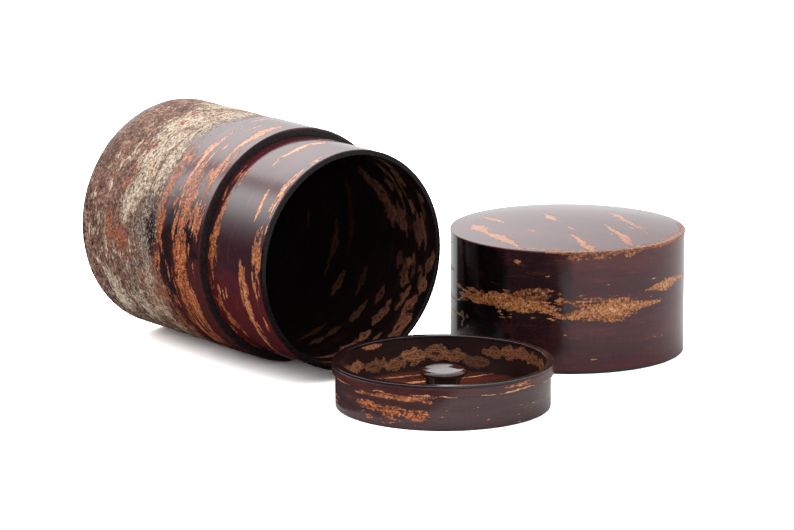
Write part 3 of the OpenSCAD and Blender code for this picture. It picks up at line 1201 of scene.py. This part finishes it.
    def build_sleeve(self) -> None:
        """Polished wrap, dark lining and lacquered rim of the sleeve."""
        # Its near-black colour for the char-and-shade mark is painted shade on the sleeve's darker sides.
        bark = Bark(Lie.ROUND_BODY, shift=41.0, warm=(0.095, 0.016, 0.022), painted_shade=(0.034, 0.011, 0.016),
                    maroon=(0.085, 0.009, 0.012), orange=(0.50, 0.135, 0.034), cream=(0.80, 0.47, 0.27),
                    ragged=0.75)
        marks = {Mark.STREAK: self.sleeve_streaks, Mark.RUST: self.sleeve_maroon,
                 Mark.CHARCOAL: self.sleeve_painted_shade}
        self.ring("sleeve_bark", "sleeve_bark_wrap", self.radius("sleeve_core_tube"), bark,
                  step=0.55, segments=448, marks=marks)
        bore = self.radius("base_bark_lining")
        self.ring("sleeve_lining", "sleeve_bark_lining", bore, LiningBark(Lie.ROUND_BODY, 17.0),
                  step=0.8, segments=384, marks={Mark.STREAK: self.lining_eyes}, lining=True)
        lacquer = Lacquer((0.005, 0.004, 0.005), (0.022, 0.014, 0.014), 0.12, 0.02, shine=0.16)
        self.ring("sleeve_rim", "sleeve_rim_edge", bore, lacquer, *self.rim_ease, step=0.3,
                  segments=384)

    def build_base(self) -> None:
        """Bark on both sides of the base."""
        self.disc("base_bark", "base_bark_facing", Bark(Lie.ROUND_BODY, shift=71.0), self.base_streaks)
        self.disc("base_lining", "base_bark_lining", LiningBark(Lie.ROUND_BODY, 29.0), self.base_streaks)


def standing(body: str, node: str) -> Axis:
    """The upright axis of a lid that stands on the table.

    Args:
        body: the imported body.
        node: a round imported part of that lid.

    Returns:
        The axis, with 0 degrees on the side turned to the viewer.
    """
    low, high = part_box(node)
    middle = (low + high) / 2.0
    bearing = math.radians(SHOWN_SIDE)
    return Axis(body, Vector((middle.x, middle.y, 0.0)), Vector((0, 0, 1)),
                Vector((math.sin(bearing), -math.cos(bearing), 0.0)))


def worn_edge(radius: float, turns: Sequence[int]) -> Marks:
    """Short worn spots along a disc's edge, at angles in degrees."""
    return tuple(Spot(radius * math.sin(math.radians(t)), -radius * math.cos(math.radians(t)), 9, 4.2, t,
                      0.05, 0.2) for t in turns)


@dataclass
class OuterLid(Assembly):
    """The tall domed lid, standing on its mouth.

    Attributes:
        crease_ease: rounding of the top bark's edge in mm.
        rim_ease: rounding of the lacquered rim in mm.
        lining_thick: thickness of the lining in mm.
        top_thick: thickness of the top bark in mm.
        top_sink: how far the top bark's edge reaches down the side in mm.
        top_turn: turn of the grain of the top, in degrees.
        streaks: lenticels of the side.
        painted_shade: painted shade and dark reflection on its darkest sides, the left one turned to the
            body.
        shade: painted shade and dark reflection on its darker sides.
        top_streaks: streaks of the top and its worn edge.
    """

    crease_ease: float = 0.45
    rim_ease: float = 0.3
    lining_thick: float = 0.5
    top_thick: float = 0.5
    top_sink: float = 0.1
    top_turn: float = 62.0
    streaks: Marks = (
        Drift((-68, -6), (20.4, 25.6), 70, 6, 1.3, 0.0, 0.4),
        Spot(-32, 22.6, 38, 4.4, pale=0.45, point=0.4), Spot(-54, 22.6, 18, 2.6, pale=0.4, point=0.6),
        Drift((-34, -5), (24.8, 28.6), 30, 5, 1.1, 0.0, 0.0),
        Drift((-44, -8), (17.4, 19.6), 12, 2.6, 0.6, 0.0, 0.6),
        Spot(19, 21.6, 36, 9.4, turn=4, pale=0.45, point=1.0),
        Spot(32, 22.3, 32, 3.0, turn=1, pale=0.4, point=1.0), Spot(0, 19.8, 16, 2.0, turn=3, pale=0.6),
        Drift((-4, 22), (23.0, 26.6), 16, 6, 0.8, 3.0, 0.3),
        Spot(55, 27.4, 27, 5.0, turn=1, pale=0.5, point=1.0), Spot(75, 27.2, 18, 1.2, pale=0.6),
        Drift((-2, 34), (39.2, 42), 44, 4, 1.2, 0.0, 0.2),
        Drift((-6, 84), (41.0, 41.9), 50, 9, 1.0, 0.0, 0.0), Spot(38, 41.7, 62, 2.0, pale=0.35, point=0.3),
        Spot(-27, 37.5, 3.2, 1.5, pale=0.5), Spot(-13, 33.0, 2.6, 0.8, turn=20, pale=0.9),
        Spot(41, 9.6, 2.0, 0.5, pale=0.9), Spot(46, 9.8, 3.2, 0.6, pale=0.9),
        Spot(51, 9.3, 2.4, 0.5, pale=0.9), Spot(-3, 13.4, 3.0, 0.8, pale=0.7),
        Spot(18, 30.2, 1.8, 0.7, pale=0.9), Spot(11, 4.9, 3.4, 0.6, pale=0.7),
        Spot(66, 9.2, 2.6, 0.5, pale=0.8), Spot(42, 24.4, 4.0, 0.5, pale=0.9),
        Spot(44, 30.6, 4.0, 0.4, pale=0.8), Drift((-66, -56), (11, 18), 8, 3, 1.2, 0.0, 0.0),
        Drift((95, 285), (4, 38), 60, 16, 1.8, 2.0, 0.35), Spot(130, 24, 44, 5.0, pale=0.3),
        Spot(190, 30, 50, 4.0, turn=3, pale=0.4), Spot(240, 16, 46, 5.0, pale=0.3))
    painted_shade: tuple[Spot, ...] = (Spot(-58, 21, 36, 190, point=0.5), Spot(170, 20, 60, 30, point=1.0))
    shade: tuple[Spot, ...] = (Spot(-22, 26, 30, 90, point=0.5), Spot(120, 20, 50, 40, point=1.0))
    top_streaks: Marks = (
        Spot(-24.5, -20.5, 38, 4.6, -62, 0.8, 1.0), Spot(-30, -7, 16, 5.0, -62, 1.0, 1.0),
        Spot(3.2, -30, 24, 2.8, -66, 0.8, 1.0), Spot(5.2, -35, 12, 4.6, -64, 0.6, 0.9),
        Spot(17, -21, 32, 3.0, -69, 0.8, 1.0), Spot(19, -27, 16, 4.2, -69, 0.6, 0.9),
        Spot(20, -1, 40, 3.0, -64, 0.85, 1.0), Spot(17, 6, 17, 5.4, -62, 1.0, 1.0),
        Spot(-25, 3, 28, 2.6, -64, 0.95, 1.0), Spot(-5.6, 1, 20, 4.0, -70, 1.1, 1.2),
        Spot(-13, -17, 9, 1.2, -40, 0.9, 1.4), Spot(1, -15, 9, 1.2, -66, 0.9, 1.4),
        Spot(-12, -36, 14, 1.4, -16, 0.5, 1.2), Drift((-30, 30), (-34, -8), 10, 5, 0.8, -62, 0.9),
        *worn_edge(39.9, range(-6, 96, 5)))

    def __post_init__(self) -> None:
        """Finds the lid's axis from its packed wrap."""
        self.axis = standing("outer_lid", "outer_lid_bark_wrap")

    def build(self) -> None:
        """Makes every piece of the lid."""
        self.build_side()
        self.build_top()
        self.dress_hidden(Lie.ROUND_LID, "outer_lid_core_tube")
        self.dress_hidden(Lie.FLAT, "outer_lid_top_board")

    def build_side(self) -> None:
        """Bark wrap, lining, ceiling and lacquered rim."""
        # On this side the maroon and near-black colours are painted shade and dark reflection: dark plum on
        # its darker sides, near black on the left turned to the body.
        bark = Bark(Lie.ROUND_LID, shift=5.0, maroon=(0.022, 0.0075, 0.0095), painted_shade=(0.004, 0.002, 0.0025),
                    orange=(0.44, 0.140, 0.038), cream=(0.70, 0.40, 0.20), ragged=0.8)
        marks = {Mark.STREAK: self.streaks, Mark.CHARCOAL: self.painted_shade, Mark.RUST: self.shade}
        self.ring("lid_side_bark", "outer_lid_bark_wrap", self.radius("outer_lid_core_tube"), bark,
                  step=0.5, segments=512, marks=marks)
        bore = self.radius("outer_lid_bark_lining") - self.lining_thick
        self.ring("lid_lining", "outer_lid_bark_lining", bore, LiningBark(Lie.ROUND_LID, 51.0),
                  step=1.2, marks={Mark.STREAK: self.streaks}, lining=True)
        self.ring("lid_rim", "outer_lid_rim_edge", bore, Lacquer(gloss=0.28), self.rim_ease, step=0.4,
                  segments=384)
        self.disc("lid_ceiling", "outer_lid_ceiling_bark", LiningBark(Lie.FLAT, 63.0), self.top_streaks)

    def build_top(self) -> None:
        """The domed top bark, rounded over at its edge."""
        top, wrap = self.axis.span("outer_lid_top_bark"), self.axis.span("outer_lid_bark_wrap")
        edge_low = wrap.high - self.top_sink
        rise = top.high - edge_low - self.top_thick
        ball = (wrap.radius ** 2 + rise ** 2) / (2.0 * rise)
        rows, corner_rows, ease = 36, 5, self.crease_ease
        quarter = 90.0

        def crown(r: float, base: float) -> float:
            """Height of the dome at a radius."""
            return base + rise - ball + math.sqrt(ball * ball - r * r)

        under = [(top.radius * k / rows, crown(top.radius * k / rows, edge_low)) for k in range(rows + 1)]
        flank, base = top.radius - ease, edge_low + self.top_thick
        over = [(flank * k / rows, crown(flank * k / rows, base)) for k in range(rows, -1, -1)]
        peak = over[0][1]
        turns = [math.radians(quarter - quarter / corner_rows * k) for k in range(corner_rows)]
        corner = [(top.radius - ease * (1.0 - math.sin(t)), peak - ease * (1.0 - math.cos(t)))
                  for t in turns]
        bark = Bark(Lie.FLAT, turn=self.top_turn, shift=9.0, orange=(0.40, 0.115, 0.040),
                    cream=(0.46, 0.29, 0.20), ragged=0.55)
        piece = Turned("lid_top_bark", [*under, *corner, *over], 0.6, 448,
                       {Mark.STREAK: self.top_streaks}, flat=True)
        self.dress(piece, "outer_lid_top_bark", bark)


@dataclass
class InnerLid(Assembly):
    """The shallow plug lid, standing on its underside.

    Attributes:
        rim_ease: rounding of the lacquered rim in mm.
        collar_ease: rounding of the collar's outer edges in mm.
        lining_thick: thickness of the band's lining in mm.
        knob_head: thickness of the knob's head in mm.
        knob_lip: width of the lip round its dished face in mm.
        knob_dish: depth of the dished face in mm.
        knob_foot: radius of its foot in mm.
        knob_waist: radius of its waist in mm.
        foot_height: height of its straight foot in mm.
        band_streaks: lenticels of the band.
        collar_streaks: lenticels and scuffs of the collar.
        wall_eyes: eyes in the band's lining.
        floor_streaks: streaks of the dish's floor and of the underside.
    """

    rim_ease: float = 0.3
    collar_ease: float = 0.25
    lining_thick: float = 0.45
    knob_head: float = 2.2
    knob_lip: float = 0.9
    knob_dish: float = 0.8
    knob_foot: float = 6.3
    knob_waist: float = 5.7
    foot_height: float = 0.9
    band_streaks: Marks = (
        Drift((-54, -6), (9.0, 10.8), 26, 5, 0.6, -2.0, 0.3),
        Drift((-52, -8), (3.4, 7.0), 44, 4.5, 0.9, -2.0, 0.05),
        Spot(-43, 6.3, 13, 3.4, turn=-3, pale=0.05, point=0.5),
        Spot(-29, 5.3, 14, 3.0, turn=-3, pale=0.1, point=0.5),
        Spot(-16, 4.6, 12, 2.8, turn=-3, pale=0.2, point=0.5),
        Spot(-30, 9.7, 28, 1.2, turn=-1, pale=0.3, point=0.6),
        Drift((-46, -10), (1.4, 3.0), 10, 4, 0.5, 0.0, 0.3),
        Drift((-70, 70), (0.6, 8), 18, 2.0, 0.4, 0.0, 0.7), Drift((80, 280), (2, 10), 50, 9, 1.0, 0.0, 0.2))
    collar_streaks: Marks = (
        Drift((32, 48), (12.2, 13.8), 14, 2.5, 0.5, 0.0, 0.4), Spot(-68, 11.4, 18, 0.6, pale=0.9),
        Spot(2, 11.35, 8, 0.5, pale=1.2), Spot(36, 11.4, 26, 0.6, pale=1.1),
        Drift((-60, 75), (11.1, 11.6), 16, 5, 0.35, 0, 0.9),
        Drift((90, 270), (11.2, 13.6), 18, 8, 0.7, 0.0, 0.4))
    wall_eyes: tuple[Spot, ...] = (
        Spot(106, 10.5, 8, 5.2, pale=0.5, point=0.5), Spot(117, 11.0, 8, 4.8, pale=0.4, point=0.5),
        Spot(128, 11.2, 8, 5.2, pale=0.45, point=0.5), Spot(139, 10.8, 9, 5.4, pale=0.45, point=0.5),
        Spot(150, 10.2, 9, 4.6, pale=0.35, point=0.5), Spot(160, 6.4, 9, 4.6, pale=0.2, point=0.5),
        Spot(172, 8.4, 9, 5.2, pale=0.35, point=0.5), Spot(183, 9.2, 9, 6.2, pale=0.4, point=0.5),
        Spot(197, 8.0, 9, 6.4, pale=0.6, point=0.5), Spot(209, 5.6, 9, 5.2, pale=0.45, point=0.5),
        Spot(224, 13.2, 10, 2.6, pale=0.75, point=0.6), Spot(221, 6.2, 10, 4.8, pale=0.35, point=0.5),
        Spot(238, 7.6, 10, 5.0, pale=0.7, point=0.5), Spot(253, 8.2, 10, 5.0, pale=0.4, point=0.5),
        Spot(92, 9, 9, 5.0, pale=0.3, point=0.5), Spot(60, 8, 12, 5), Spot(30, 10, 12, 4),
        Spot(0, 8, 14, 5), Spot(320, 9, 14, 5), Spot(285, 8, 14, 5))
    floor_streaks: tuple[Spot, ...] = (
        Spot(-14, 24.5, 30, 1.8, 24, 0.6, 0.9), Spot(-10, 16, 26, 3.0, 26, 0.5, 0.7),
        Spot(12, 26, 22, 1.4, 30, 0.8, 1.0), Spot(4, 8, 34, 1.6, 26, 0.4, 1.0),
        Spot(-8, -6, 36, 2.2, 26, 0.5, 0.9), Spot(10, -14, 30, 1.6, 26, 0.6, 1.0),
        Spot(-12, -22, 24, 1.4, 26, 0.4, 1.0), Spot(18, 12, 18, 1.0, 28, 0.7, 1.0),
        Spot(16, 0, 20, 1.2, 26, 0.3, 1.0))

    def __post_init__(self) -> None:
        """Finds the lid's axis from its packed band."""
        self.axis = standing("inner_lid", "inner_lid_band_bark")

    def build(self) -> None:
        """Makes every piece of the inner lid."""
        self.build_band()
        self.build_boards()
        self.build_knob()
        self.dress_hidden(Lie.ROUND_LID, "inner_lid_band_core", "inner_lid_knob_pin")
        self.dress_hidden(Lie.FLAT, "inner_lid_board")

    def build_band(self) -> None:
        """Bark band, its lining, the proud collar and the lacquered rim."""
        bark = Bark(Lie.ROUND_LID, shift=13.0, deep=(0.052, 0.024, 0.026), warm=(0.080, 0.035, 0.037),
                    orange=(0.62, 0.16, 0.048), ragged=0.8)
        self.ring("band_bark", "inner_lid_band_bark", self.radius("inner_lid_band_core"), bark,
                  step=0.35, segments=512, marks={Mark.STREAK: self.band_streaks})
        bore = self.radius("inner_lid_band_lining") - self.lining_thick
        lining = LiningBark(Lie.ROUND_LID, 33.0, skin=(0.020, 0.009, 0.009), eye=(0.46, 0.175, 0.075))
        self.ring("band_lining", "inner_lid_band_lining", bore, lining, step=0.5, segments=384,
                  marks={Mark.STREAK: self.wall_eyes}, lining=True)
        collar = Bark(Lie.ROUND_LID, shift=23.0, gloss=0.16, warm=(0.085, 0.024, 0.022))
        self.ring("collar_bark", "inner_lid_collar", self.radius("inner_lid_band_bark"), collar,
                  self.collar_ease, 0.0, step=0.3, segments=512,
                  marks={Mark.STREAK: self.collar_streaks})
        lacquer = Lacquer((0.014, 0.006, 0.007), (0.040, 0.016, 0.016), 0.06, 0.015)
        self.ring("band_rim", "inner_lid_rim_edge", bore, lacquer, self.rim_ease, step=0.3,
                  segments=384)

    def build_boards(self) -> None:
        """Bark on the floor of the dish and under the lid."""
        bark = Bark(Lie.FLAT, turn=-26.0 - SHOWN_SIDE, shift=19.0, deep=(0.070, 0.011, 0.008),
                    warm=(0.145, 0.024, 0.013), orange=(0.80, 0.30, 0.12), cream=(0.95, 0.62, 0.40),
                    ragged=0.6, slot="floor_bark")
        self.ring("dish_floor", "inner_lid_floor_bark", self.radius("inner_lid_knob_pin"), bark,
                  step=0.8, segments=320, marks={Mark.STREAK: self.floor_streaks}, flat=True)
        self.disc("underside_bark", "inner_lid_underside_bark", Bark(Lie.FLAT, shift=47.0),
                  self.floor_streaks, 0.2)

    def build_knob(self) -> None:
        """The turned knob with its dished head and drawn-in waist."""
        knob, pin = self.axis.span("inner_lid_knob"), self.axis.span("inner_lid_knob_pin")
        foot, rows = self.knob_foot, 12
        neck_low, neck_high = knob.low + self.foot_height, knob.high - self.knob_head
        neck = neck_high - neck_low
        bow = [(foot - (foot - self.knob_waist) * math.sin(math.pi * k / rows), neck_low + neck * k / rows)
               for k in range(rows + 1)]
        half = self.knob_head / 2.0
        nose = [(knob.radius - half + half * math.sin(math.pi * k / rows),
                 knob.high - half - half * math.cos(math.pi * k / rows)) for k in range(rows + 1)]
        edge = knob.radius - self.knob_lip
        hollow = [(edge * k / rows, knob.high - self.knob_dish * (1.0 - (k / rows) ** 4))
                  for k in range(rows, -1, -1)]
        crown = [(0.0, pin.high), (pin.radius, pin.high), (pin.radius, knob.low), (foot, knob.low),
                 *bow[:-1], (foot, neck_high), *nose, *hollow]
        # Painted shade on the neck, under the overhanging head.
        dark = (Spot(0, (neck_low + neck_high) / 2.0, 400, 1.7 * neck, point=0.1),)
        lacquer = Lacquer((0.11, 0.020, 0.013), (0.28, 0.056, 0.026), 0.05, 0.006, Lie.FLAT, 0.8,
                          slot="knob_wood")
        self.dress(Turned("knob", crown, 0.4, 192, {Mark.CHARCOAL: dark}), "inner_lid_knob", lacquer)


# ------------------------------------------------------------------ table, light and camera


@dataclass
class Studio:
    """A plain pale table, soft white light and the camera.

    Attributes:
        table: half the side of the table in metres.
        table_white: brightness of the table where it is seen.
        table_grey: brightness of the table as it lights and mirrors in the object.
        stand: where the camera stands, in metres.
        dip: how far the camera looks down, in degrees.
        lens: focal length in mm on a 36 mm wide sensor.
        sky: strength of the white surroundings.
        lamp: extra strength in the middle of the large soft light.
        lamp_at: direction of its middle, above and behind the group.
        side_lamp: extra strength of the small soft light beside it.
        side_at: direction of the small light.
        gap: bearings where the dim gap between the lights starts and ends, in degrees.
        gap_rise: heights over which the gap fades in.
        gap_share: share of the light that the gap takes away.
        dark: bearings over which the dark side fades in and out, in degrees.
        dark_rise: heights over which the dark side fades in, downwards.
        dark_share: share of the light that the dark side takes away.
        card: corners of the black card in metres, clockwise from its near left one; it is painted shade of
            the table left of the body, seen only in the gloss.
    """

    table: float = 9.0
    table_white: float = 2.6
    table_grey: float = 0.66
    stand: tuple[float, float, float] = (-0.8759, -1.1138, 0.34465)
    dip: float = 12.48
    lens: float = 193.9
    sky: float = 1.1
    lamp: float = 3.0
    lamp_at: tuple[float, float, float] = (0.0, 0.707, 0.707)
    side_lamp: float = 1.6
    side_at: tuple[float, float, float] = (-0.38, 0.78, 0.50)
    gap: tuple[float, float, float, float] = (-23.0, -14.0, -12.0, -4.0)
    gap_rise: tuple[float, float] = (0.3, 0.45)
    gap_share: float = 0.55
    dark: tuple[float, float, float, float] = (-16.0, -38.0, -170.0, -120.0)
    dark_rise: tuple[float, float] = (0.42, -0.02)
    dark_share: float = 0.97
    card: tuple[tuple[float, float], ...] = (
        (-9.0, -0.22), (-9.0, 9.0), (0.004, 9.0), (0.004, 0.03), (-0.052, 0.03), (-0.052, -0.012),
        (-0.085, -0.05), (-0.085, -0.22))

    def build(self) -> None:
        """Makes the table, the light and the camera."""
        self.build_table()
        self.build_card()
        self.build_light()
        self.build_camera()

    def build_table(self) -> None:
        """A large pale table: a white sheet to be seen, and under it one that lights and reflects."""
        side = self.table
        corners = ((-side, -side), (-side, side), (side, side), (side, -side))
        seen = self._sheet("table", corners, -0.00005, self.table_white)
        seen.visible_diffuse = seen.visible_glossy = seen.visible_shadow = False
        under = self._sheet("table_under", corners, -0.0001, self.table_grey)
        under.visible_camera = False

    def build_card(self) -> None:
        """A black card on the table, left of the body, that only the gloss of the bark shows: painted shade
        of the table there.
        """
        made = self._sheet("black_card", self.card, 0.00005, 0.04)
        made.visible_camera = made.visible_diffuse = made.visible_shadow = False

    @staticmethod
    def _sheet(name: str, corners: Sequence[tuple[float, float]], height: float,
               grey: float) -> bpy.types.Object:
        """Makes a flat level matt sheet that isn't part of the object.

        Args:
            name: its name.
            corners: its corners in metres.
            height: its height in metres.
            grey: its brightness.

        Returns:
            The sheet.
        """
        mesh = bpy.data.meshes.new(name)
        mesh.from_pydata([(x, y, height) for x, y in corners], [], [tuple(range(len(corners)))])
        made = bpy.data.objects.new(name, mesh)
        bpy.context.scene.collection.objects.link(made)
        sh = Shader.for_material(name + "_matt")
        matt = sh.node("ShaderNodeBsdfDiffuse", {}, {"Color": (grey, grey, grey)}, "BSDF")
        sh.close("ShaderNodeOutputMaterial", matt)
        mesh.materials.append(sh.owner)
        return made

    def build_light(self) -> None:
        """White surroundings: two soft lights above and behind, and a dark side on the left."""
        scene = bpy.context.scene
        scene.view_settings.view_transform = "Standard"
        world = bpy.data.worlds.new("surroundings")
        scene.world = world
        sh = Shader(world)
        way = sh.node("ShaderNodeTexCoord", output="Generated")
        parts = sh.node("ShaderNodeSeparateXYZ", {}, {0: way})
        east, north, rise = (Sock(sh, parts.socket.node.outputs[letter]) for letter in "XYZ")
        bearing = sh.node("ShaderNodeMath", {"operation": "ARCTAN2"}, {0: east, 1: north})
        main_lamp = self._lobe(sh, way, self.lamp_at, 55.0) * self.lamp
        side_lamp = self._lobe(sh, way, self.side_at, 20.0) * self.side_lamp
        turns = [math.radians(turn) for turn in (*self.gap, *self.dark)]
        gap_west, gap_east, dark_west, dark_back = (
            sh.smooth(bearing, *turns[k:k + 2]) for k in range(0, len(turns), 2))
        gap = (gap_west - gap_east) * sh.smooth(rise, *self.gap_rise)
        dark = sh.smooth(rise, *self.dark_rise) * (dark_west * dark_back)
        light = (self.sky + main_lamp + side_lamp) * (1.0 - gap * self.gap_share)
        light = light * (1.0 - dark * self.dark_share)
        sh.close("ShaderNodeOutputWorld", sh.node("ShaderNodeBackground", {}, {
            "Color": (1.0, 1.0, 1.0), "Strength": light}, "Background"))

    @staticmethod
    def _lobe(sh: Shader, way: Sock, towards: tuple[float, float, float], reach: float) -> Sock:
        """A soft round light in the surroundings.

        Args:
            sh: the surroundings' tree.
            way: the direction looked in.
            towards: direction of the light's middle.
            reach: angle at which it has faded out, in degrees.

        Returns:
            1 in the middle and 0 beyond its reach.
        """
        middle = tuple(Vector(towards).normalized())
        share = sh.node("ShaderNodeVectorMath", {"operation": "DOT_PRODUCT"}, {0: way, 1: middle}, "Value")
        angle = sh.node("ShaderNodeMath", {"operation": "ARCCOSINE"}, {0: share})
        return sh.smooth(angle, math.radians(reach), 0.0)

    def build_camera(self) -> None:
        """The camera at the viewer's place."""
        lens = bpy.data.cameras.new("viewer")
        lens.lens = self.lens
        lens.sensor_width = 36.0
        lens.clip_end = 50.0
        made = bpy.data.objects.new("viewer", lens)
        made.location = self.stand
        made.rotation_euler = (math.radians(90.0 - self.dip), 0.0, math.radians(SHOWN_SIDE))
        bpy.context.scene.collection.objects.link(made)
        bpy.context.scene.camera = made


def main() -> None:
    """Builds the caddy, its table, light and camera, and notes the sizes."""
    logging.basicConfig(level=logging.INFO, format="%(name)s %(message)s")
    for part in (CaddyBody(), OuterLid(), InnerLid(), Studio()):
        LOG.info("building %s", type(part).__name__)
        part.build()


if __name__ == "__main__":
    main()
